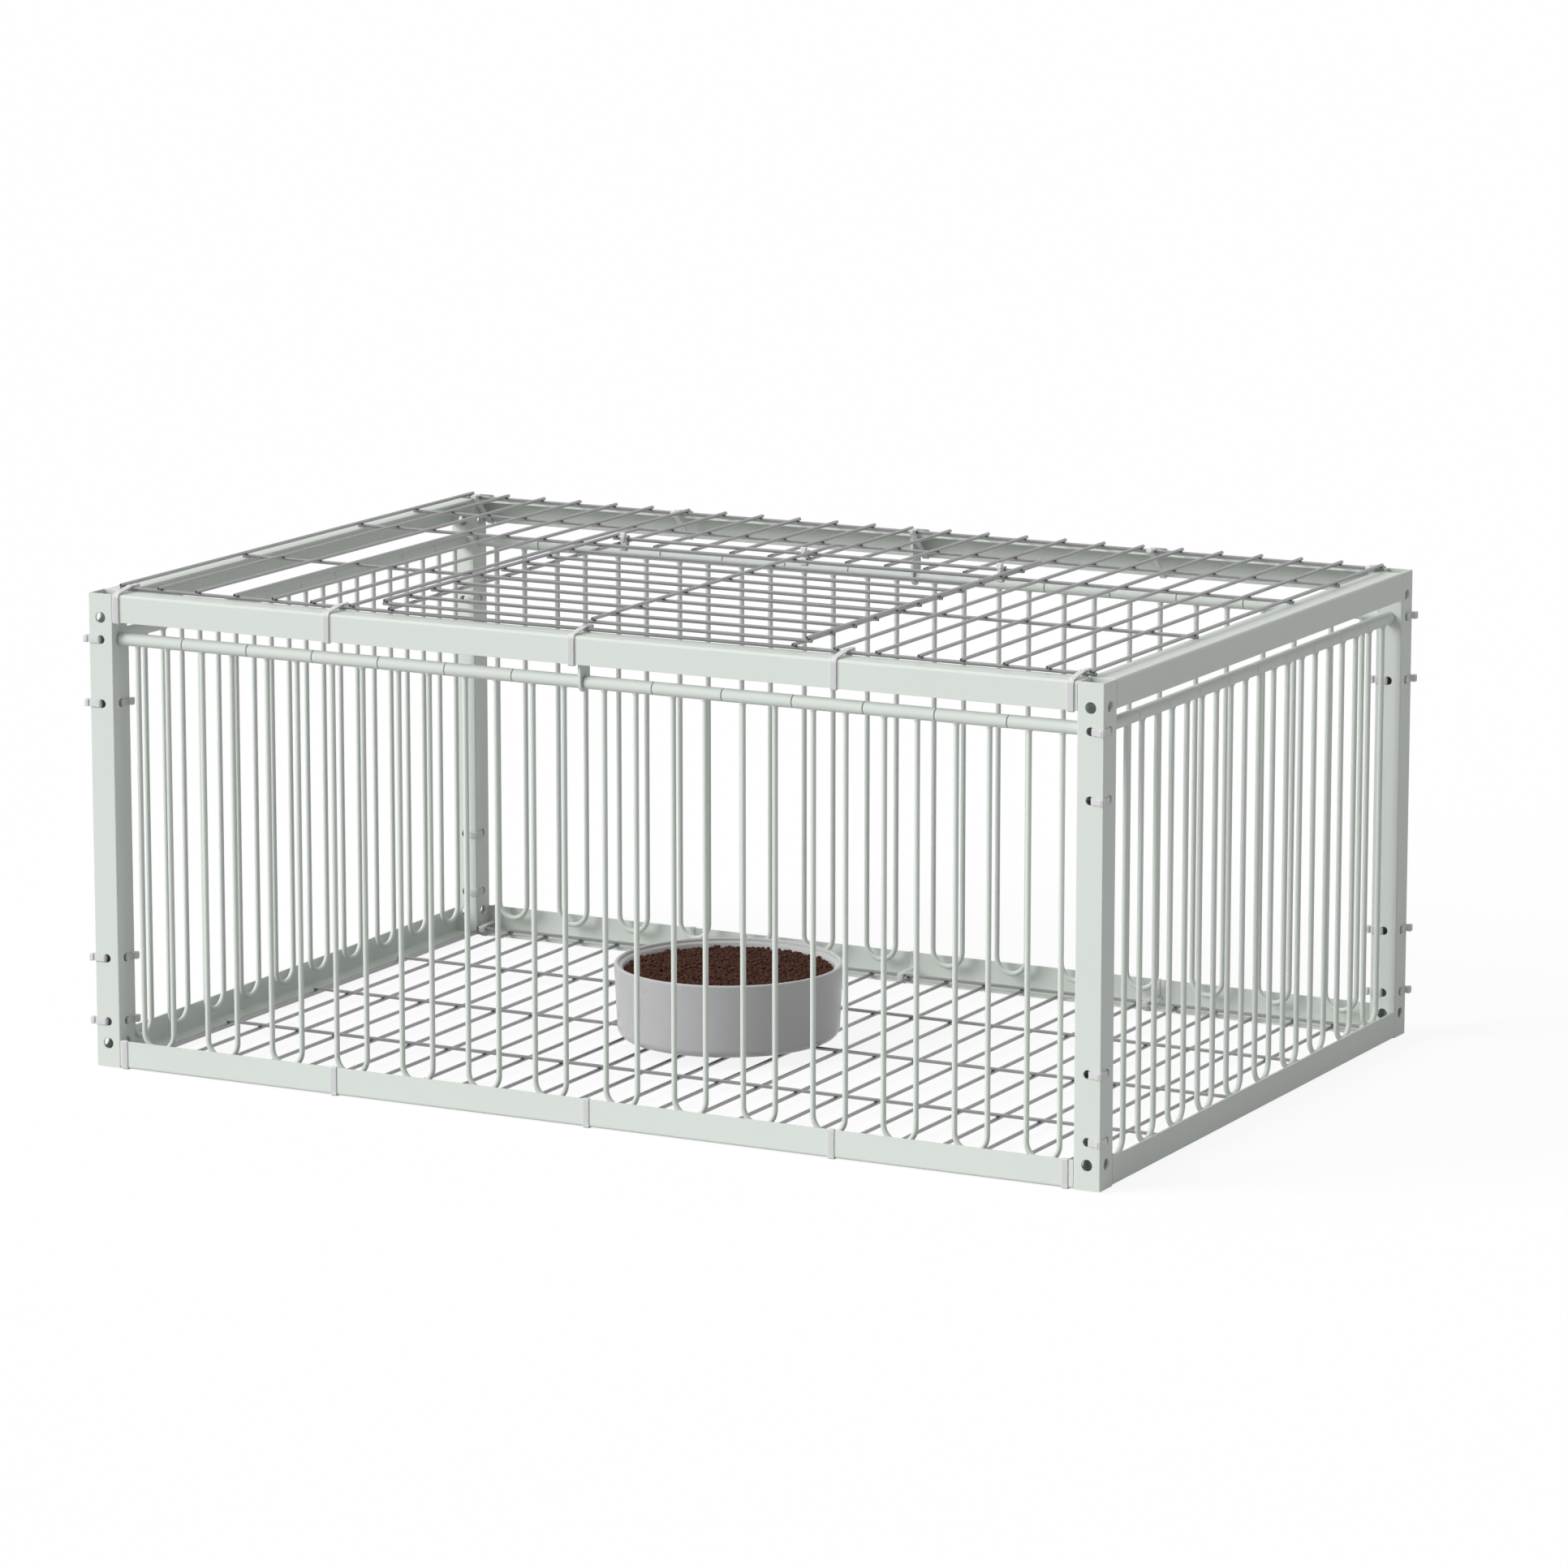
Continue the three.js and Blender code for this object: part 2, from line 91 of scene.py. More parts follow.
# Weld under a sleeve: height from the sleeve's axis, and thickness as a share of the wire's
BOB_WELD = [(-2.7 * MM, 1.42), (-3.6 * MM, 1.3), (-4.1 * MM, 1.1), (-4.9 * MM, 1.0)]
HANGER = 1.5 * MM
HANGER_RADIUS = 5.2 * MM
HANGER_ROUNDING = 0.999 * HANGER_RADIUS  # a little less, so that the two bends don't meet
LONG_ROW_BOBS = 7  # on each side of the hanger
SHORT_ROW_BOBS = 10

# Welded wire grids and the door
GRID_WIRE = 2 * MM
WIRE_END_EDGE = 0.25 * MM
WELD_SINK = 0.1 * MM
NUGGET_RADIUS = 1.18 * MM
CROSS_WIRES = 25
CROSS_PITCH = 23.9 * MM
EDGE_STRINGER_Y = 185.2 * MM
CROSS_END_Y = 188.2 * MM
STRINGER_Z = 261.3 * MM
TOP_STRINGER_PITCH = EDGE_STRINGER_Y / 3
TOP_STRINGER_END = 288.8 * MM
FLOOR_CROSS_Z = 2.5 * MM
FLOOR_STRINGER_PITCH = EDGE_STRINGER_Y / 2
FLOOR_STRINGER_END = 284.4 * MM
HATCH_COLUMNS = 5
HATCH_SETBACK = 3 * MM
HINGE_Y = 63.733 * MM
HINGE_Z = 265.6 * MM
DOOR_SHIFT = 2.609 * MM
DOOR_ROWS = 11
DOOR_SIDE = 125 * MM
DOOR_EDGE = 127 * MM
DOOR_FRONT_Y = -186 * MM
DOOR_TAIL = 24 * MM
DOOR_LIP = 2 * MM

# Cable ties
STRAP = 0.9 * MM
RAIL_STRAP_WIDTH = 3.5 * MM
POST_STRAP_WIDTH = 3.6 * MM
DOOR_STRAP_WIDTH = 3.6 * MM
STRAP_EDGE = 0.22 * MM
UNDER_STRAP = 0.5 * MM  # thickness of the straps that pass under the trap
STRAP_GAP = 0.1 * MM  # between a strap and the sheet that it passes
TIE_SLACK = 0.3 * MM
OVER_WIRE = 1.1 * MM  # from a wire's axis to the strap that runs over it
BESIDE_WIRE = 1.2 * MM
STRAP_BACK = 3.6 * MM  # behind the top grid's edge wire, where the strap turns down
STRAP_BACK_RISE = 0.5 * MM
STRAP_FRONT_RISE = 1.6 * MM  # over the floor grid's edge wire, where the strap leaves the rail
DOOR_TIE_BEND = 1.1 * MM
HOLE_REACH = 1.3 * MM  # from the axis of a post's hole to the strap in it
POST_TIE_DRAW = 0.3 * MM  # how much the strap is drawn in inside the post
# Heads: length along the strap, rise over it, and width
DOOR_HEAD = (5.4 * MM, 2.3 * MM, 3.7 * MM)
DOOR_HEAD_TAPER = 0.55
RAIL_HEAD = (3.6 * MM, 2.2 * MM, 3.6 * MM)
POST_HEAD = (3.3 * MM, 2.6 * MM, 4.0 * MM)
HEAD_EDGE = 0.55 * MM
HEAD_SINK = 0.3 * MM
SLOT_MARGIN = 1.7 * MM
TAIL_EDGE = 0.15 * MM
TAIL_INSET = 0.1 * MM
# Where the heads sit: over the door's wire, behind the top wire, under the floor wire, on a post
DOOR_HEAD_UP = 0.1 * MM
TOP_HEAD_BACK = 4.7 * MM
BOTTOM_HEAD_DOWN = 0.4 * MM
POST_HEAD_ALONG = 0.45 * MM
TOP_TIES_X = [-282.3 * MM, -151 * MM, -3.2 * MM, 149 * MM, 281.5 * MM]
BOTTOM_TIES_X = [-282 * MM, -150 * MM, 4 * MM, 148 * MM, 280.4 * MM]

# Bowl and feed
BOWL_X = -19 * MM
BOWL_Y = 2 * MM
BOWL_Z = 5.8 * MM
BOWL_RADIUS = 63 * MM
BOWL_TAPER = 2 * MM
BOWL_HEIGHT = 41 * MM
BOWL_WALL = 2.4 * MM
BOWL_FOOT = 5 * MM
BOWL_RIM_EDGE = 1.05 * MM
BASE_RING = 9 * MM
BASE_STEP = 1.2 * MM
BASE_LIFT = 0.8 * MM
BOWL_LEDGE = 3.3 * MM
BOWL_LEDGE_DEPTH = 1.5 * MM
LEDGE_WALL = 0.8 * MM
LEDGE_GRIP = 0.5 * MM  # how far the ledge stands in the wall
# Ledge from the wall inward: distance from the wall, and depth below the ledge's outer edge
LEDGE_PROFILE = [
    (1.0 * MM, 0.1 * MM), (2.1 * MM, 0.35 * MM), (3.0 * MM, 1.1 * MM), (3.5 * MM, 3.4 * MM),
    (3.9 * MM, 5.0 * MM),
]
FEED_DEPTH = 5.4 * MM
FEED_BED = 6 * MM
FEED_DOME = 0.7 * MM
FEED_MARGIN = 1.1 * MM
FEED_LAP = 0.4 * MM  # how far the bed runs in under the ledge
FEED_STEPS = (0.12, 0.2, 0.3)  # insets of the bed's top, as shares of its radius
FEED_STEP_RISE = 0.25 * MM
PELLET_RADIUS = 1 * MM
PELLET_SHAPE = (1.4, 1.1, 1.0)
# Two layers of pellets: spacing, height over the bed, and the share that is kept
PELLET_LAYERS = [(2.3 * MM, 0.4 * MM, 1.0), (3.4 * MM, 1.3 * MM, 0.75)]
PELLET_ROWS = 0.87  # from row to row, as a share of the spacing
PELLET_SCATTER = 0.3  # to each side, as a share of the spacing
PELLET_UNEVEN = 0.35  # up and down, in millimetres
PELLET_TILT = 0.6
PELLET_SIZES = (0.85, 1.18)

# Light and camera, set by the photograph
KEY_LIGHT_FROM = (-0.66, -0.60, 0.45)
KEY_LIGHT = 3.14
KEY_LIGHT_SPREAD = math.radians(38)
OVERHEAD_LIGHT = 0.57
OVERHEAD_LIGHT_SPREAD = math.radians(80)
SURROUNDING_LIGHT = 0.35
FLOOR_BOUNCE = 0.55
FLOOR_GLOW = 0.88
FLOOR_SIDE = 60
FLOOR_GAP = 0.1 * MM  # below the lowest strap
CAMERA_PLACE = (1.69428, -3.21427, 0.85331)
CAMERA_DOWN = math.radians(10.9857)
CAMERA_ROUND = math.radians(27.5665)
CAMERA_LENS = 156.04


# ---- modelling helpers

def deselect():
    if bpy.context.mode != "OBJECT":
        bpy.ops.object.mode_set(mode="OBJECT")
    bpy.ops.object.select_all(action="DESELECT")


def choose(*pieces):
    deselect()
    for piece in pieces:
        piece.select_set(True)
    bpy.context.view_layer.objects.active = pieces[0]


def settle(*pieces):
    """Moves each object's place into its mesh."""
    choose(*pieces)
    bpy.ops.object.transform_apply(location=True, rotation=True, scale=True)


def start(name, add, scale=(1, 1, 1), **sizes):
    deselect()
    add(**sizes)
    piece = bpy.context.object
    piece.name = piece.data.name = name
    piece.scale = scale
    settle(piece)
    return piece


def edit(piece, kind="FACE"):
    choose(piece)
    bpy.ops.object.mode_set(mode="EDIT")
    bpy.ops.mesh.select_mode(type=kind)
    bpy.ops.mesh.select_all(action="DESELECT")


def pick(kind, test):
    """Selects what passes a test on its middle and its normal, or an edge's direction."""
    bpy.ops.mesh.select_mode(type=kind)
    bpy.ops.mesh.select_all(action="DESELECT")
    mesh = bmesh.from_edit_mesh(bpy.context.object.data)
    if kind == "FACE":
        found = [f for f in mesh.faces if test(f.calc_center_median(), f.normal)]
    elif kind == "EDGE":
        found = []
        for e in mesh.edges:
            low, high = (vertex.co for vertex in e.verts)
            if test((low + high) / 2, (high - low).normalized()):
                found.append(e)
    else:
        found = [v for v in mesh.verts if test(v.co, v.normal)]
    for item in found:
        item.select_set(True)
    mesh.select_flush_mode()
    bmesh.update_edit_mesh(bpy.context.object.data)


def extrude(x=0.0, y=0.0, z=0.0):
    bpy.ops.mesh.extrude_region_move(TRANSFORM_OT_translate={"value": (x, y, z)})


def face_out():
    bpy.ops.mesh.select_all(action="SELECT")
    bpy.ops.mesh.remove_doubles(threshold=CLOSE)
    bpy.ops.mesh.normals_make_consistent(inside=False)


def face_toward(place_axis, facing_axis):
    """Turns an open sheet over unless its farthest face along one axis looks along the other."""
    mesh = bmesh.from_edit_mesh(bpy.context.object.data)
    place, facing = AXES.index(place_axis), AXES.index(facing_axis)
    farthest = max(mesh.faces, key=lambda f: f.calc_center_median()[place])
    if farthest.normal[facing] < 0:
        bpy.ops.mesh.select_all(action="SELECT")
        bpy.ops.mesh.flip_normals()


def leave_edit():
    bpy.ops.object.mode_set(mode="OBJECT")


def modify(piece, kind, **settings):
    choose(piece)
    modifier = piece.modifiers.new(kind.lower(), kind)
    for key, value in settings.items():
        setattr(modifier, key, value)
    bpy.ops.object.modifier_apply(modifier=modifier.name)


def thicken(piece, wall, side=-1.0):
    modify(piece, "SOLIDIFY", thickness=wall, offset=side, use_even_offset=True)


def ease(piece, width, segments=2, angle=40):
    modify(
        piece, "BEVEL", width=width, segments=segments, limit_method="ANGLE",
        angle_limit=math.radians(angle), use_clamp_overlap=True, harden_normals=False,
    )


def cut(piece, cutter):
    modify(piece, "BOOLEAN", operation="DIFFERENCE", solver="EXACT", object=cutter)
    bpy.data.objects.remove(cutter)


def copy_of(piece, name, move):
    """A copy with its own mesh, set down by a matrix."""
    twin = piece.copy()
    twin.data = piece.data.copy()
    twin.name = twin.data.name = name
    bpy.context.collection.objects.link(twin)
    twin.matrix_world = move
    return twin


def join(name, pieces):
    settle(*pieces)
    choose(*pieces)
    if len(pieces) > 1:
        bpy.ops.object.join()
    whole = bpy.context.object
    whole.name = whole.data.name = name
    return whole


def smooth(piece, angle=35):
    """Smooth shading with flat faces that stay flat up to their rounded edges."""
    choose(piece)
    bpy.ops.object.shade_smooth_by_angle(angle=math.radians(angle))
    modify(piece, "WEIGHTED_NORMAL", keep_sharp=True)


def slide(x=0.0, y=0.0, z=0.0):
    return Matrix.Translation((x, y, z))


def turn(angle, axis="Z"):
    return Matrix.Rotation(angle, 4, axis)


def paint(piece, *materials):
    piece.data.materials.clear()
    for material in materials:
        piece.data.materials.append(material)


def hand_over(piece, body, slot, *nodes):
    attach(piece, body)
    if nodes:
        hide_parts(*nodes)


def round_bar(name, axis, radius, low, high, across, sides=WIRE_SIDES):
    """A wire or rod along an axis from low to high; across is its place on the other two axes."""
    middle = (low + high) / 2
    at = {"X": (middle, *across), "Y": (across[0], middle, across[1]), "Z": (*across, middle)}[axis]
    lean = {"X": (0, QUARTER, 0), "Y": (QUARTER, 0, 0), "Z": (0, 0, 0)}[axis]
    bar = start(
        name, bpy.ops.mesh.primitive_cylinder_add,
        vertices=sides, radius=radius, depth=high - low, location=at, rotation=lean,
    )
    index = AXES.index(axis)
    edit(bar, "EDGE")
    pick("EDGE", lambda at, along: abs(along[index]) < 0.5)
    bpy.ops.mesh.bevel(offset=WIRE_END_EDGE, segments=2)
    leave_edit()
    return bar


# ---- finishes

def node_group(name, inputs, outputs):
    group = bpy.data.node_groups.new(name, "ShaderNodeTree")
    for label, kind, value in inputs:
        socket = group.interface.new_socket(name=label, in_out="INPUT", socket_type=kind)
        socket.default_value = value
    for label, kind in outputs:
        group.interface.new_socket(name=label, in_out="OUTPUT", socket_type=kind)
    return group, group.nodes.new("NodeGroupInput"), group.nodes.new("NodeGroupOutput")


def add_node(tree, kind, links=(), **settings):
    node = tree.nodes.new(kind)
    for key, value in settings.items():
        if key in node.inputs.keys():
            node.inputs[key].default_value = value
        else:
            setattr(node, key, value)
    for socket, source in links:
        tree.links.new(source, node.inputs[socket])
    return node


def noise_in(tree, scale, detail):
    place = add_node(tree, "ShaderNodeTexCoord")
    return add_node(
        tree, "ShaderNodeTexNoise", Detail=detail,
        links=[("Vector", place.outputs["Object"]), ("Scale", scale)],
    )


def centred_noise(tree, scale, detail=3.0):
    """Noise moved to swing about zero."""
    noise = noise_in(tree, scale, detail)
    centred = add_node(
        tree, "ShaderNodeMath", operation="SUBTRACT", links=[(0, noise.outputs["Fac"])],
    )
    centred.inputs[1].default_value = 0.5
    return centred.outputs[0]


def make_tone_group():
    """A colour that drifts a little lighter and darker over the surface."""
    group, given, out = node_group(
        "tone_drift",
        [("Colour", "NodeSocketColor", (0.5, 0.5, 0.5, 1)), ("Scale", "NodeSocketFloat", 20.0),
         ("Amount", "NodeSocketFloat", 0.05)],
        [("Colour", "NodeSocketColor")],
    )
    swing = centred_noise(group, given.outputs["Scale"])
    drift = add_node(
        group, "ShaderNodeMath", operation="MULTIPLY_ADD",
        links=[(0, swing), (1, given.outputs["Amount"])],
    )
    drift.inputs[2].default_value = 1.0
    scaled = add_node(
        group, "ShaderNodeVectorMath", operation="SCALE",
        links=[(0, given.outputs["Colour"]), ("Scale", drift.outputs[0])],
    )
    group.links.new(scaled.outputs[0], out.inputs["Colour"])
    return group


def make_gloss_group():
    """A roughness that varies over the surface, as handling leaves it."""
    group, given, out = node_group(
        "gloss_drift",
        [("Roughness", "NodeSocketFloat", 0.4), ("Scale", "NodeSocketFloat", 60.0),
         ("Amount", "NodeSocketFloat", 0.15)],
        [("Roughness", "NodeSocketFloat")],
    )
    swing = centred_noise(group, given.outputs["Scale"], 5.0)
    drift = add_node(
        group, "ShaderNodeMath", operation="MULTIPLY_ADD", use_clamp=True,
        links=[(0, swing), (1, given.outputs["Amount"]), (2, given.outputs["Roughness"])],
    )
    group.links.new(drift.outputs[0], out.inputs["Roughness"])
    return group


def make_relief_group():
    """Small bumps: the skin of a coat, the drawing marks of a wire, the crumb of a pellet."""
    group, given, out = node_group(
        "fine_relief",
        [("Scale", "NodeSocketFloat", 800.0), ("Strength", "NodeSocketFloat", 0.2),
         ("Distance", "NodeSocketFloat", 0.0001)],
        [("Normal", "NodeSocketVector")],
    )
    noise = noise_in(group, given.outputs["Scale"], 2.0)
    bump = add_node(
        group, "ShaderNodeBump",
        links=[("Height", noise.outputs["Fac"]), ("Strength", given.outputs["Strength"]),
               ("Distance", given.outputs["Distance"])],
    )
    group.links.new(bump.outputs["Normal"], out.inputs["Normal"])
    return group


tone_drift = make_tone_group()
gloss_drift = make_gloss_group()
fine_relief = make_relief_group()


def finish_of(name, colour, roughness, tone, gloss, relief, **fixed):
    """A finish that varies over the piece; tone and gloss are (scale, amount) and relief is
    (scale, strength, depth in metres). Fixed values are set on the shader itself.
    """
    material = bpy.data.materials.new(name)
    material.use_nodes = True
    tree = material.node_tree
    shader = tree.nodes["Principled BSDF"]
    for label, value in fixed.items():
        shader.inputs[label.replace("_", " ")].default_value = value
    tone_values = {"Colour": (*colour, 1), "Scale": tone[0], "Amount": tone[1]}
    gloss_values = {"Roughness": roughness, "Scale": gloss[0], "Amount": gloss[1]}
    relief_values = {"Scale": relief[0], "Strength": relief[1], "Distance": relief[2]}
    for group, result, socket, values in (
        (tone_drift, "Colour", "Base Color", tone_values),
        (gloss_drift, "Roughness", "Roughness", gloss_values),
        (fine_relief, "Normal", "Normal", relief_values),
    ):
        node = tree.nodes.new("ShaderNodeGroup")
        node.node_tree = group
        for label, value in values.items():
            node.inputs[label].default_value = value
        tree.links.new(node.outputs[result], shader.inputs[socket])
    return material


powder_coat = finish_of(
    "powder_coat", (0.637, 0.676, 0.636), 0.52, tone=(14, 0.035), gloss=(90, 0.1),
    relief=(1100, 0.22, 0.00008),
)
zinc = finish_of(
    "galvanised_zinc", (0.32, 0.32, 0.322), 0.38, tone=(260, 0.2), gloss=(420, 0.12),
    relief=(2600, 0.12, 0.00003), Metallic=0.9,
)
# painted shade: a dark material for the welds, standing in for the shade where two wires cross; the
# wires' end faces take it too
weld_shade_and_dark_ends = finish_of(
    "weld_shade_and_dark_ends", (0.10, 0.10, 0.105), 0.6, tone=(900, 0.6), gloss=(800, 0.3),
    relief=(3000, 0.5, 0.0001), Metallic=0.7,
)
nylon = finish_of(
    "natural_nylon", (0.82, 0.825, 0.825), 0.5, tone=(120, 0.03), gloss=(300, 0.1),
    relief=(1500, 0.1, 0.00004), Transmission_Weight=0.3, IOR=1.42,
)
bowl_plastic = finish_of(
    "bowl_plastic", (0.53, 0.53, 0.535), 0.3, tone=(9, 0.03), gloss=(45, 0.18),
    relief=(500, 0.05, 0.00005),
)
feed_crumb = finish_of(
    "feed_crumb", (0.070, 0.025, 0.015), 0.75, tone=(310, 1.1), gloss=(500, 0.25),
    relief=(2200, 0.8, 0.00025), Specular_IOR_Level=0.25,
)


# ---- corner posts

def drills(name, axis, holes):
    """Drill bars through both walls of a post at the origin, at every hole's height."""
    bars = []
    for size, from_end in holes:
        for z in (from_end, HEIGHT - from_end):
            bars.append(round_bar(name, axis, size / 2, -SECTION, SECTION, (0, z), TUBE_SIDES))
    return join(name, bars)


def corner_post():
    post = start(
        "post", bpy.ops.mesh.primitive_cube_add, size=1, location=(0, 0, HEIGHT / 2),
        scale=(SECTION, SECTION, HEIGHT),
    )
    edit(post)
    pick("EDGE", lambda at, along: abs(along.z) > 0.9)
    bpy.ops.mesh.bevel(offset=POST_CORNER, segments=4)
    leave_edit()
    bore = SECTION - 2 * POST_WALL
    cut(post, start(
        "bore", bpy.ops.mesh.primitive_cube_add, size=1, location=(0, 0, HEIGHT / 2),
        scale=(bore, bore, HEIGHT + SECTION),
    ))
    holes = [(END_HOLE, END_HOLE_AT), (TIE_HOLE, ROD_HOLE_AT), (TIE_HOLE, TIE_HOLE_AT)]
    for axis in "XY":
        cut(post, drills("drill", axis, holes))
    ease(post, SHEET_EDGE)
    smooth(post)
    paint(post, powder_coat)
    return post


post = corner_post()
for name, side_x, side_y in (
    ("post_front_left", -1, -1),
    ("post_front_right", 1, -1),
    ("post_rear_left", -1, 1),
    ("post_rear_right", 1, 1),
):
    piece = copy_of(post, name + "_tube", slide(side_x * POST_X, side_y * POST_Y))
    settle(piece)
    hand_over(piece, "frame", "coated_steel", name)
bpy.data.objects.remove(post)


# ---- rails, rods and bobs
# Each side is made as the front one, with the rails' outer corner along Y = 0, and turned round.

def angle_rail(length):
    rail = start(
        "rail", bpy.ops.mesh.primitive_plane_add, size=1, location=(0, SECTION / 2, 0),
        scale=(length, SECTION, 1),
    )
    edit(rail, "EDGE")
    pick("EDGE", lambda at, along: abs(at.y) < CLOSE)
    extrude(z=-SECTION)
    pick("EDGE", lambda at, along: abs(at.y) < CLOSE and abs(at.z) < CLOSE)
    bpy.ops.mesh.bevel(offset=RAIL_BEND, segments=5)
    face_out()
    face_toward("Y", "Z")
    leave_edit()
    thicken(rail, RAIL_WALL)
    ease(rail, SHEET_EDGE, angle=50)
    return rail


def rod_hanger():
    """Flat strip with a round lower end and the rod's hole, welded under a long top rail."""
    top = -RAIL_WALL + WELD_GRIP
    bottom = -ROD_HOLE_AT - HANGER_RADIUS
    strip = start(
        "hanger", bpy.ops.mesh.primitive_plane_add, size=1,
        location=(-HANGER / 2, SECTION / 2, (top + bottom) / 2), rotation=(0, QUARTER, 0),
        scale=(top - bottom, 2 * HANGER_RADIUS, 1),
    )
    edit(strip, "VERT")
    pick("VERT", lambda at, normal: at.z < bottom + CLOSE)
    bpy.ops.mesh.bevel(affect="VERTICES", offset=HANGER_ROUNDING, segments=10)
    bpy.ops.mesh.select_all(action="SELECT")
    extrude(x=HANGER)
    face_out()
    leave_edit()
    rod_place = (SECTION / 2, -ROD_HOLE_AT)
    cut(strip, round_bar("drill", "X", TIE_HOLE / 2, -SECTION, SECTION, rod_place, TUBE_SIDES))
    ease(strip, SHEET_EDGE)
    return strip


def grow_leg(x, weld):
    """Draws the chosen end of a leg through the heights of its weld and changes its thickness."""
    for (z, size), (last_z, last_size) in zip(weld[1:], weld):
        extrude(z=z - last_z)
        change = size / last_size
        bpy.ops.transform.resize(value=(change, change, 1), center_override=(x, 0, z))


def bob(pitch):
    """One bob about its sleeve's axis: a tube sleeve and a U of wire welded under it."""
    sleeve = start(
        "sleeve", bpy.ops.mesh.primitive_cylinder_add, vertices=TUBE_SIDES, radius=SLEEVE / 2,
        depth=pitch - SLEEVE_GAP, end_fill_type="NOTHING", rotation=(0, QUARTER, 0),
    )
    thicken(sleeve, SLEEVE_WALL)
    ease(sleeve, SLEEVE_EDGE, 3, SLEEVE_STEEPEST)
    bend_z = -(BOB_REACH - BOB_WIRE / 2 - BOB_SPREAD / 2)
    weld_z, weld_size = BOB_WELD[0]
    leg_z = BOB_WELD[-1][0]
    loop = start(
        "loop", bpy.ops.mesh.primitive_circle_add, vertices=BOB_SIDES,
        radius=BOB_WIRE / 2 * weld_size, fill_type="NGON", location=(-BOB_SPREAD / 2, 0, weld_z),
    )
    edit(loop)
    bpy.ops.mesh.select_all(action="SELECT")
    grow_leg(-BOB_SPREAD / 2, BOB_WELD)
    extrude(z=bend_z - leg_z)
    bpy.ops.mesh.spin(steps=14, angle=math.pi, center=(0, 0, bend_z), axis=(0, 1, 0))
    extrude(z=leg_z - bend_z)
    grow_leg(BOB_SPREAD / 2, BOB_WELD[::-1])
    face_out()
    leave_edit()
    whole = join("bob", [sleeve, loop])
    smooth(whole, 50)
    paint(whole, powder_coat)
    return whole


def bob_pair(single, pitch):
    pair = join("bobs", [copy_of(single, "bob", slide(x=side * pitch / 2)) for side in (-1, 1)])
    smooth(pair, 50)
    return pair


def row_shares(count, sharing):
    """How many bobs each node of a row holds: the sharing number, and what is left in the last."""
    shares = [sharing] * (count // sharing)
    return shares + [count % sharing] if count % sharing else shares


long_rail = angle_rail(RAIL_LENGTH)
hung_rail = join("rail", [copy_of(long_rail, "rail", slide()), rod_hanger()])
short_rail = angle_rail(RAIL_DEPTH)
long_pitch = ((RAIL_LENGTH - HANGER) / 2 - SLEEVE_GAP) / LONG_ROW_BOBS
short_pitch = (RAIL_DEPTH - SLEEVE_GAP) / SHORT_ROW_BOBS
for rail in (long_rail, hung_rail, short_rail):
    smooth(rail)
    paint(rail, powder_coat)
long_bob = bob(long_pitch)
short_bob = bob(short_pitch)
long_pair = bob_pair(long_bob, long_pitch)
short_pair = bob_pair(short_bob, short_pitch)
bob_models = {
    (True, 1): long_bob, (True, 2): long_pair, (False, 1): short_bob, (False, 2): short_pair,
}

for side, angle, distance, is_long, sharing in (
    ("front", 0, WIDTH / 2, True, 1),
    ("right", QUARTER, LENGTH / 2, False, 1),
    ("rear", math.pi, WIDTH / 2, True, 2),
    ("left", -QUARTER, LENGTH / 2, False, 2),
):
    outward = turn(angle) @ slide(y=-distance)
    upper = copy_of(
        hung_rail if is_long else short_rail, f"rail_top_{side}_angle", outward @ slide(z=HEIGHT),
    )
    lower = copy_of(
        long_rail if is_long else short_rail, f"rail_bottom_{side}_angle",
        outward @ turn(QUARTER, "X"),
    )
    settle(upper, lower)
    hand_over(upper, "frame", "coated_steel", f"rail_top_{side}")
    hand_over(lower, "frame", "coated_steel", f"rail_bottom_{side}")

    rod_end = (RAIL_LENGTH if is_long else RAIL_DEPTH) / 2 + POST_WALL + ROD_GRIP
    rod_place = (SECTION / 2, ROD_Z)
    rod = round_bar(f"rod_{side}_bar", "X", ROD / 2, -rod_end, rod_end, rod_place, ROD_SIDES)
    smooth(rod)
    paint(rod, powder_coat)
    rod.matrix_world = outward
    settle(rod)
    hand_over(rod, "frame", "coated_steel", f"rod_{side}")

    pitch = long_pitch if is_long else short_pitch
    if is_long:
        shares = row_shares(LONG_ROW_BOBS, sharing)
        rows = [(-RAIL_LENGTH / 2, shares), (HANGER / 2, shares[::-1])]
    else:
        rows = [(-RAIL_DEPTH / 2, row_shares(SHORT_ROW_BOBS, sharing))]
    number = 0
    for row_start, row in rows:
        at = row_start + SLEEVE_GAP / 2
        for share in row:
            number += 1
            node = f"bob_pair_{side}_{number:02d}" if share > 1 else f"bob_{side}_{number:02d}"
            place = outward @ slide(at + share * pitch / 2, SECTION / 2, ROD_Z)
            piece = copy_of(bob_models[(is_long, share)], node + "_wire", place)
            settle(piece)
            hand_over(piece, node, "coated_steel", node)
            at += share * pitch

for model in (long_rail, hung_rail, short_rail, *bob_models.values()):
    bpy.data.objects.remove(model)


# ---- welded grids

def darken_ends(bar, axis):
    """The sheared end faces of a wire get the dark material, darker than its zinc."""
    index = AXES.index(axis)
    for face in bar.data.polygons:
        face.material_index = 1 if abs(face.normal[index]) > 0.98 else 0


def grid_wire(name, axis, low, high, across):
    bar = round_bar(name, axis, GRID_WIRE / 2, low, high, across)
    smooth(bar)
    paint(bar, zinc, weld_shade_and_dark_ends)
    darken_ends(bar, axis)
    return bar


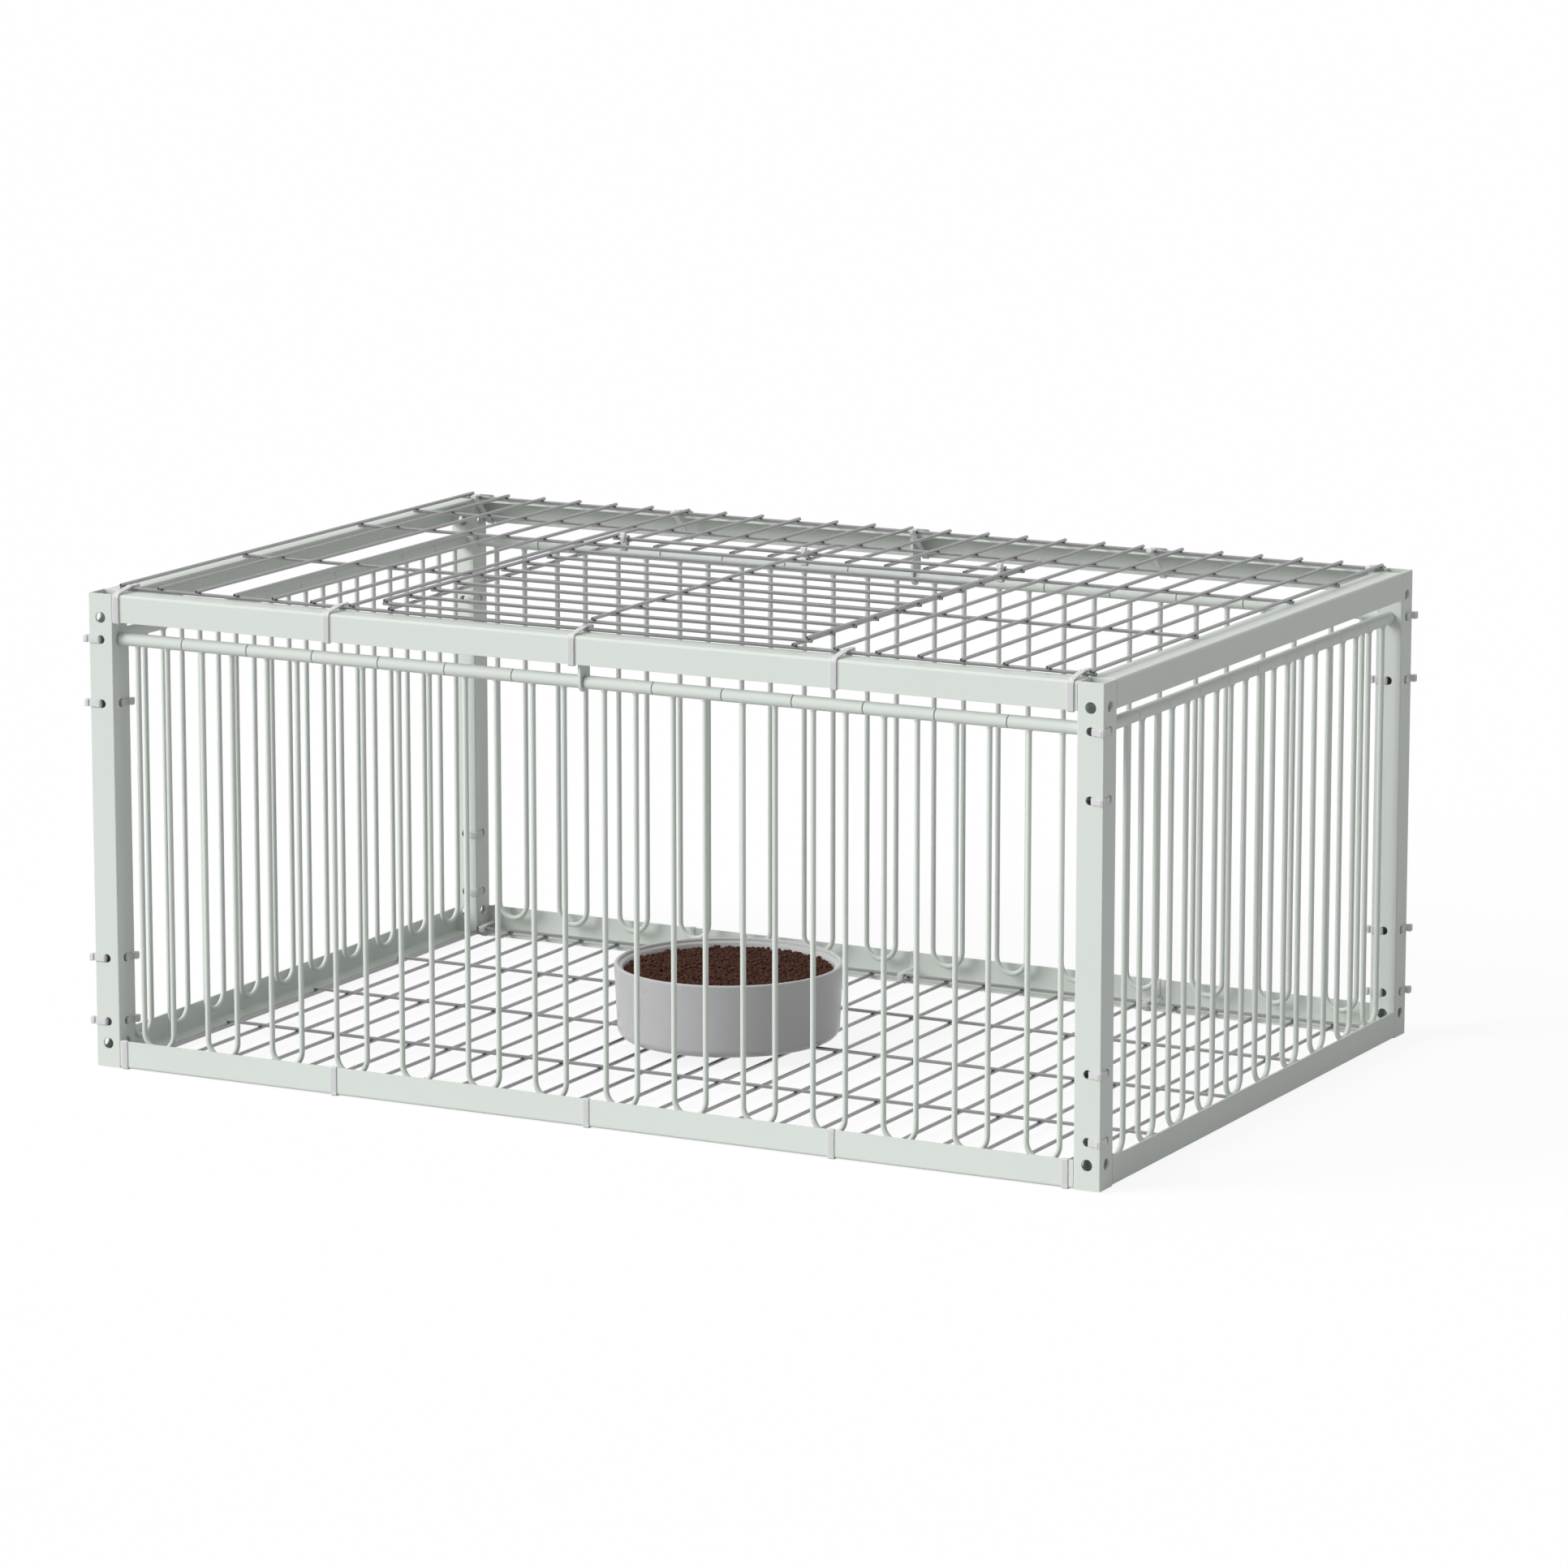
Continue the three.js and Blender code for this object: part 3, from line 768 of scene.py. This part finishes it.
def nugget():
    """The flattened weld between two crossing wires, painted dark all over as the shade where the
    wires cross.
    """
    blob = start(
        "nugget", bpy.ops.mesh.primitive_uv_sphere_add, segments=8, ring_count=5,
        radius=NUGGET_RADIUS, scale=(1, 1, 0.5),
    )
    smooth(blob, 180)
    paint(blob, zinc, weld_shade_and_dark_ends)
    # painted shade: the whole weld takes the dark material in place of the shade at the crossing
    for face in blob.data.polygons:
        face.material_index = 1
    return blob


weld = nugget()


def welded_grid(name, rows, row_end, row_z, columns, column_z):
    """Stringers along X at the given Y, and cross wires (x, low, high) along Y, welded to them."""
    stringer = grid_wire("stringer", "X", -row_end, row_end, (0, row_z))
    wires = [copy_of(stringer, "stringer", slide(y=y)) for y in rows]
    weld_z = (row_z + column_z) / 2
    models = {}
    welds = []
    for x, low, high in columns:
        if (low, high) not in models:
            models[(low, high)] = grid_wire("cross_wire", "Y", low, high, (0, column_z))
        wires.append(copy_of(models[(low, high)], "cross_wire", slide(x=x)))
        welds += [copy_of(weld, "nugget", slide(x, y, weld_z)) for y in rows if low < y < high]
    for model in (stringer, *models.values()):
        bpy.data.objects.remove(model)
    return join(name, wires + welds)


half_columns = CROSS_WIRES // 2
top_rows = [row * TOP_STRINGER_PITCH for row in (-3, -1, 1, 2, 3)]
stub_y = TOP_STRINGER_PITCH - HATCH_SETBACK
top_columns = [
    (i * CROSS_PITCH, stub_y if abs(i) < HATCH_COLUMNS else -CROSS_END_Y, CROSS_END_Y)
    for i in range(-half_columns, half_columns + 1)
]
top_grid = welded_grid(
    "top_wire_grid", top_rows, TOP_STRINGER_END, STRINGER_Z + WELD_SINK, top_columns,
    STRINGER_Z + GRID_WIRE - WELD_SINK,
)
hand_over(top_grid, "frame", "galvanised_wire", "top_grid")

floor_rows = [row * FLOOR_STRINGER_PITCH for row in (-2, -1, 0, 1, 2)]
floor_edge_x = FLOOR_STRINGER_END - GRID_WIRE / 2
floor_columns = [
    (max(-floor_edge_x, min(floor_edge_x, i * CROSS_PITCH)), -CROSS_END_Y, CROSS_END_Y)
    for i in range(-half_columns, half_columns + 1)
]
floor_wire_z = FLOOR_CROSS_Z + GRID_WIRE - WELD_SINK
floor_grid = welded_grid(
    "floor_wire_grid", floor_rows, FLOOR_STRINGER_END, floor_wire_z, floor_columns,
    FLOOR_CROSS_Z + WELD_SINK,
)
hand_over(floor_grid, "frame", "galvanised_wire", "floor_grid")

door_rows = [
    HINGE_Y + (DOOR_FRONT_Y - HINGE_Y) * i / (DOOR_ROWS - 1) for i in range(DOOR_ROWS)
]
door_columns = [
    (x, DOOR_FRONT_Y - DOOR_LIP, HINGE_Y + DOOR_TAIL) for x in (-DOOR_SIDE, 0, DOOR_SIDE)
]
door = welded_grid(
    "hatch_door", door_rows, DOOR_EDGE, HINGE_Z + WELD_SINK, door_columns,
    HINGE_Z + GRID_WIRE - WELD_SINK,
)
door.matrix_world = slide(x=DOOR_SHIFT)
settle(door)
hand_over(door, "door", "galvanised_wire", "top_door")
bpy.data.objects.remove(weld)


# ---- cable ties

def strap_loop(name, corners, width, thick=STRAP):
    """A strap pulled round corners (u, v, bend radius) in the XY plane, its width along Z."""
    loop = start(
        name, bpy.ops.mesh.primitive_circle_add, vertices=len(corners), radius=SECTION,
        fill_type="NOTHING", location=(0, 0, -width / 2),
    )
    edit(loop, "VERT")
    mesh = bmesh.from_edit_mesh(loop.data)
    mesh.verts.ensure_lookup_table()
    for vertex, (u, v, bend) in zip(mesh.verts, corners):
        vertex.co = (u, v, -width / 2)
    bmesh.update_edit_mesh(loop.data)
    for u, v, bend in corners:
        pick("VERT", lambda at, normal: abs(at.x - u) < CLOSE and abs(at.y - v) < CLOSE)
        bpy.ops.mesh.bevel(affect="VERTICES", offset=bend, segments=4)
    bpy.ops.mesh.select_all(action="SELECT")
    extrude(z=width)
    face_out()
    face_toward("X", "X")
    leave_edit()
    thicken(loop, thick, 1.0)
    ease(loop, STRAP_EDGE, 2, 50)
    return loop


def tie_head(along, rise, width, taper=1.0):
    """Head of a tie on the plane X = 0, rising along X, with the strap's cut end in its slot."""
    head = start(
        "head", bpy.ops.mesh.primitive_cube_add, size=1, location=(rise / 2 - HEAD_SINK, 0, 0),
        scale=(rise, along, width),
    )
    edit(head)
    pick("FACE", lambda at, normal: normal.y > 0.9)
    bpy.ops.transform.resize(value=(1, 1, taper), center_override=(0, along / 2, 0))
    leave_edit()
    ease(head, HEAD_EDGE, 3)
    tail = start(
        "tail", bpy.ops.mesh.primitive_cube_add, size=1, location=(rise / 2, 0, 0),
        scale=(rise - TAIL_INSET, STRAP, width - SLOT_MARGIN),
    )
    ease(tail, TAIL_EDGE)
    return join("head", [head, tail])


def tie(name, loop, head, at, direction, lift=STRAP):
    """A strap with a copy of the head set on its outer side at (u, v), facing a direction."""
    place = slide(*at) @ turn(direction) @ slide(x=lift)
    whole = join(name, [loop, copy_of(head, "head", place)])
    smooth(whole)
    paint(whole, nylon)
    return whole


door_head = tie_head(*DOOR_HEAD, taper=DOOR_HEAD_TAPER)
rail_head = tie_head(*RAIL_HEAD)

# from the loop's plane (u, v, width) to (Y, Z, X)
ACROSS = Matrix(((0, 0, 1, 0), (1, 0, 0, 0), (0, 1, 0, 0), (0, 0, 0, 1)))

# door hinges: round the door's rear wire and the stringer below it
wire_reach = GRID_WIRE / 2 + TIE_SLACK
hinge_top = HINGE_Z + WELD_SINK + wire_reach
hinge_low = STRINGER_Z - wire_reach
door_corners = [
    (TOP_STRINGER_PITCH + wire_reach, hinge_low, DOOR_TIE_BEND),
    (HINGE_Y + wire_reach, hinge_top, DOOR_TIE_BEND),
    (HINGE_Y - wire_reach, hinge_top, DOOR_TIE_BEND),
    (TOP_STRINGER_PITCH - wire_reach, hinge_low, DOOR_TIE_BEND),
]
door_loop = strap_loop("door_tie", door_corners, DOOR_STRAP_WIDTH)
door_head_at = (HINGE_Y - wire_reach, hinge_top + DOOR_HEAD_UP)
door_tie = tie("door_tie", door_loop, door_head, door_head_at, math.pi)
tie_beside = wire_reach + DOOR_STRAP_WIDTH / 2
for name, x in (
    ("door_tie_left", -HATCH_COLUMNS * CROSS_PITCH + tie_beside),
    ("door_tie_middle", -tie_beside),
    ("door_tie_right", HATCH_COLUMNS * CROSS_PITCH - tie_beside),
):
    piece = copy_of(door_tie, name + "_nylon", slide(x=x) @ ACROSS)
    settle(piece)
    hand_over(piece, "frame", "clear_nylon", name)

# top rails: from the outer flange's lower edge up inside, round the edge wire and down outside
outer = -WIDTH / 2
wire_y = -EDGE_STRINGER_Y
flange_edge = outer + SECTION
top_corners = [
    (outer + RAIL_WALL, HEIGHT - SECTION, 0.3 * MM),
    (flange_edge + STRAP_GAP, HEIGHT - RAIL_WALL, 0.1 * MM),
    (wire_y + STRAP_BACK, STRINGER_Z + STRAP_BACK_RISE, 0.4 * MM),
    (wire_y, STRINGER_Z + WELD_SINK + OVER_WIRE, 0.5 * MM),
    (outer, HEIGHT, 1.4 * MM),
    (outer, HEIGHT - SECTION, 0.3 * MM),
]
top_loop = strap_loop("rail_tie", top_corners, RAIL_STRAP_WIDTH)
top_head_at = (wire_y + TOP_HEAD_BACK, STRINGER_Z)
top_tie = tie("rail_tie", top_loop, rail_head, top_head_at, QUARTER, 0)

# bottom rails: from the flange's edge round the edge wire, over the outer flange and underneath
bottom_corners = [
    (flange_edge + STRAP_GAP, 0, 0.4 * MM),
    (wire_y + BESIDE_WIRE, floor_wire_z, 0.6 * MM),
    (wire_y, floor_wire_z + OVER_WIRE, 0.5 * MM),
    (outer + RAIL_WALL, floor_wire_z + STRAP_FRONT_RISE, 2.2 * MM),
    (outer + RAIL_WALL, SECTION, 0.3 * MM),
    (outer, SECTION, 0.3 * MM),
    (outer, 0, 0.6 * MM),
]
bottom_loop = strap_loop("rail_tie", bottom_corners, RAIL_STRAP_WIDTH, UNDER_STRAP)
bottom_head_at = (wire_y + BESIDE_WIRE, floor_wire_z - BOTTOM_HEAD_DOWN)
bottom_tie = tie("rail_tie", bottom_loop, rail_head, bottom_head_at, 0, UNDER_STRAP)

rail_ties = []
for angle in (0, math.pi):
    for model, places in ((top_tie, TOP_TIES_X), (bottom_tie, BOTTOM_TIES_X)):
        for x in places:
            rail_ties.append(copy_of(model, "rail_tie", turn(angle) @ slide(x=x) @ ACROSS))
whole = join("rail_ties", rail_ties)
hand_over(whole, "frame", "clear_nylon")

# posts: through two neighbouring holes round an upright edge at the origin, the post on +X +Y
in_hole = SECTION / 2 - HOLE_REACH
in_post = in_hole - POST_TIE_DRAW
off_wall = POST_WALL + STRAP_GAP
post_corners = [
    (0, 0, 0.9 * MM),
    (0, in_hole, 0.5 * MM),
    (off_wall, in_post, 0.4 * MM),
    (in_post, off_wall, 0.4 * MM),
    (in_hole, 0, 0.5 * MM),
]
post_loop = strap_loop("post_tie", post_corners, POST_STRAP_WIDTH)
post_head = tie_head(*POST_HEAD)
post_tie = tie("post_tie", post_loop, post_head, (0, POST_HEAD_ALONG), math.pi)
post_ties = []
for quarter, (corner_x, corner_y) in enumerate(((-1, -1), (1, -1), (1, 1), (-1, 1))):
    outer_corner = slide(corner_x * LENGTH / 2, corner_y * WIDTH / 2) @ turn(quarter * QUARTER)
    inner_x = corner_x * (LENGTH / 2 - SECTION)
    inner_y = corner_y * (WIDTH / 2 - SECTION)
    inner_corner = slide(inner_x, inner_y) @ turn(quarter * QUARTER + math.pi)
    for z in (ROD_HOLE_AT, TIE_HOLE_AT, HEIGHT - TIE_HOLE_AT, HEIGHT - ROD_HOLE_AT):
        post_ties.append(copy_of(post_tie, "post_tie", slide(z=z) @ outer_corner))
    for z in (ROD_HOLE_AT, TIE_HOLE_AT, HEIGHT - TIE_HOLE_AT):
        post_ties.append(copy_of(post_tie, "post_tie", slide(z=z) @ inner_corner))
whole = join("post_ties", post_ties)
hand_over(whole, "frame", "clear_nylon")
for model in (door_tie, top_tie, bottom_tie, post_tie, door_head, rail_head, post_head):
    bpy.data.objects.remove(model)


# ---- bowl and feed

def bait_bowl():
    rim = BOWL_Z + BOWL_HEIGHT
    foot = BOWL_RADIUS - BOWL_TAPER
    dish = start(
        "bait_bowl_shell", bpy.ops.mesh.primitive_circle_add, vertices=BOWL_SIDES, radius=foot,
        fill_type="NGON", location=(BOWL_X, BOWL_Y, BOWL_Z),
    )
    edit(dish, "EDGE")
    pick("EDGE", lambda at, along: True)
    bpy.ops.mesh.extrude_edges_move(TRANSFORM_OT_translate={"value": (0, 0, BOWL_HEIGHT)})
    grow = BOWL_RADIUS / foot
    bpy.ops.transform.resize(value=(grow, grow, 1), center_override=(BOWL_X, BOWL_Y, rim))
    pick("EDGE", lambda at, along: at.z < BOWL_Z + CLOSE)
    bpy.ops.mesh.bevel(offset=BOWL_FOOT, segments=7)
    face_out()
    pick("FACE", lambda at, normal: abs(normal.z) > 0.999)
    bpy.ops.mesh.inset(thickness=BASE_RING)
    bpy.ops.transform.translate(value=(0, 0, BASE_LIFT))
    bpy.ops.mesh.inset(thickness=BASE_STEP)
    face_toward("X", "X")
    leave_edit()
    thicken(dish, BOWL_WALL)
    edit(dish, "EDGE")
    pick("EDGE", lambda at, along: at.z > rim - 0.3 * MM and runs_round(at, along))
    bpy.ops.mesh.bevel(offset=BOWL_RIM_EDGE, segments=4)
    leave_edit()
    dish = join("bait_bowl_shell", [dish, bowl_ledge()])
    smooth(dish, 40)
    paint(dish, bowl_plastic)
    return dish


def bowl_ledge():
    """The shelf that runs round inside the rim and slopes down under the feed."""
    outer_radius = BOWL_RADIUS - BOWL_WALL + LEDGE_GRIP
    level = BOWL_Z + BOWL_HEIGHT - BOWL_LEDGE_DEPTH
    ledge = start(
        "ledge", bpy.ops.mesh.primitive_circle_add, vertices=BOWL_SIDES, radius=outer_radius,
        fill_type="NOTHING", location=(BOWL_X, BOWL_Y, level),
    )
    edit(ledge, "EDGE")
    bpy.ops.mesh.select_all(action="SELECT")
    last_radius = outer_radius
    last_drop = 0.0
    for inward, drop in LEDGE_PROFILE:
        radius = outer_radius - inward
        shrink = radius / last_radius
        bpy.ops.mesh.extrude_edges_move(
            TRANSFORM_OT_translate={"value": (0, 0, last_drop - drop)},
        )
        bpy.ops.transform.resize(
            value=(shrink, shrink, 1), center_override=(BOWL_X, BOWL_Y, 0),
        )
        last_radius = radius
        last_drop = drop
    face_out()
    face_toward("Z", "Z")
    leave_edit()
    thicken(ledge, LEDGE_WALL)
    return ledge


def runs_round(at, along):
    """Whether an edge of the bowl runs round it, and neither up its wall nor across its rim."""
    out = Vector((at.x - BOWL_X, at.y - BOWL_Y, 0)).normalized()
    return abs(along.z) < 0.5 and abs(along.dot(out)) <= 0.7


dish = bait_bowl()
hand_over(dish, "bowl", "bowl_plastic", "bait_bowl")


def either_way(reach):
    return random.uniform(-reach, reach)


def feed_heap():
    """A bed of feed with two layers of pellets on it, every pellet turned its own way."""
    random.seed(7)
    inner = BOWL_RADIUS - BOWL_WALL - BOWL_LEDGE + FEED_LAP
    level = BOWL_Z + BOWL_HEIGHT - FEED_DEPTH
    bed = start(
        "bait_feed", bpy.ops.mesh.primitive_cylinder_add, vertices=FEED_SIDES, radius=inner,
        depth=FEED_BED, location=(BOWL_X, BOWL_Y, level - FEED_BED / 2),
    )
    edit(bed)
    pick("FACE", lambda at, normal: normal.z > 0.9)
    for share in FEED_STEPS:
        bpy.ops.mesh.inset(thickness=inner * share)
        bpy.ops.transform.translate(value=(0, 0, FEED_STEP_RISE))
    leave_edit()
    pellet = start(
        "pellet", bpy.ops.mesh.primitive_uv_sphere_add, segments=6, ring_count=4,
        radius=PELLET_RADIUS, scale=PELLET_SHAPE,
    )
    smooth(pellet, 180)
    pieces = [bed]
    for spacing, lift, keep in PELLET_LAYERS:
        steps = int(inner / spacing) + 2
        grid = range(-steps, steps + 1)
        for row, column in ((row, column) for row in grid for column in grid):
            x = (column + 0.5 * (row % 2)) * spacing + either_way(PELLET_SCATTER) * spacing
            y = row * spacing * PELLET_ROWS + either_way(PELLET_SCATTER) * spacing
            reach = math.hypot(x, y)
            if reach > inner - FEED_MARGIN or random.random() > keep:
                continue
            dome = FEED_DOME * (1 - (reach / inner) ** 2)
            z = level + dome + lift + either_way(PELLET_UNEVEN) * MM
            spin = turn(random.uniform(0, math.pi)) @ turn(either_way(PELLET_TILT), "Y")
            size = random.uniform(*PELLET_SIZES)
            place = slide(BOWL_X + x, BOWL_Y + y, z) @ spin @ Matrix.Scale(size, 4)
            pieces.append(copy_of(pellet, "pellet", place))
    heap = join("bait_feed", pieces)
    bpy.data.objects.remove(pellet)
    smooth(heap, 60)
    paint(heap, feed_crumb)
    return heap


heap = feed_heap()
hand_over(heap, "bowl", "bowl_plastic")


# ---- floor, light and camera

def clear_rays(tree, rays):
    """1 for rays from the camera, a mirror or glass, which see pure white; 0 for the others."""
    seen = add_node(
        tree, "ShaderNodeMath", operation="MAXIMUM",
        links=[(0, rays.outputs["Is Camera Ray"]), (1, rays.outputs["Is Glossy Ray"])],
    )
    clear = add_node(
        tree, "ShaderNodeMath", operation="MAXIMUM",
        links=[(0, seen.outputs[0]), (1, rays.outputs["Is Transmission Ray"])],
    )
    return clear.outputs[0]


def white_backdrop():
    floor = start(
        "studio_floor", bpy.ops.mesh.primitive_plane_add, size=FLOOR_SIDE,
        location=(0, 0, -UNDER_STRAP - FLOOR_GAP),
    )
    material = bpy.data.materials.new("studio_floor")
    material.use_nodes = True
    tree = material.node_tree
    tree.nodes.remove(tree.nodes["Principled BSDF"])
    rays = add_node(tree, "ShaderNodeLightPath")
    tint = add_node(
        tree, "ShaderNodeMix", data_type="RGBA", links=[(0, rays.outputs["Is Camera Ray"])],
    )
    tint.inputs[6].default_value = (FLOOR_BOUNCE, FLOOR_BOUNCE, FLOOR_BOUNCE, 1)
    tint.inputs[7].default_value = (1, 1, 1, 1)
    matt = add_node(tree, "ShaderNodeBsdfDiffuse", links=[("Color", tint.outputs[2])])
    glow = add_node(tree, "ShaderNodeEmission", Strength=1.0)
    share = add_node(
        tree, "ShaderNodeMath", operation="MULTIPLY", links=[(0, clear_rays(tree, rays))],
    )
    share.inputs[1].default_value = FLOOR_GLOW
    mixed = add_node(
        tree, "ShaderNodeMixShader",
        links=[(0, share.outputs[0]), (1, matt.outputs[0]), (2, glow.outputs[0])],
    )
    tree.links.new(mixed.outputs[0], tree.nodes["Material Output"].inputs["Surface"])
    paint(floor, material)


def studio_light():
    deselect()
    bpy.ops.object.light_add(type="SUN", location=(-1, -2, 2))
    lamp = bpy.context.object
    lamp.rotation_euler = Vector(KEY_LIGHT_FROM).to_track_quat("Z", "Y").to_euler()
    lamp.data.energy = KEY_LIGHT
    lamp.data.angle = KEY_LIGHT_SPREAD
    lamp.visible_glossy = False  # the wires mirror the white surroundings, not the lamp
    bpy.ops.object.light_add(type="SUN", location=(0, 0, 3))
    overhead = bpy.context.object
    overhead.data.energy = OVERHEAD_LIGHT
    overhead.data.angle = OVERHEAD_LIGHT_SPREAD

    world = bpy.data.worlds.new("studio")
    bpy.context.scene.world = world
    world.use_nodes = True
    tree = world.node_tree
    rays = add_node(tree, "ShaderNodeLightPath")
    strength = add_node(
        tree, "ShaderNodeMapRange", links=[("Value", clear_rays(tree, rays))],
    )
    strength.inputs["To Min"].default_value = SURROUNDING_LIGHT
    strength.inputs["To Max"].default_value = 1.0
    sky = tree.nodes["Background"]
    sky.inputs["Color"].default_value = (1, 1, 1, 1)
    tree.links.new(strength.outputs[0], sky.inputs["Strength"])


def photo_camera():
    deselect()
    bpy.ops.object.camera_add(
        location=CAMERA_PLACE, rotation=(QUARTER - CAMERA_DOWN, 0, CAMERA_ROUND),
    )
    camera = bpy.context.object
    camera.data.sensor_width = 36
    camera.data.lens = CAMERA_LENS
    bpy.context.scene.camera = camera


white_backdrop()
studio_light()
photo_camera()
bpy.context.scene.view_settings.view_transform = "Standard"
deselect()
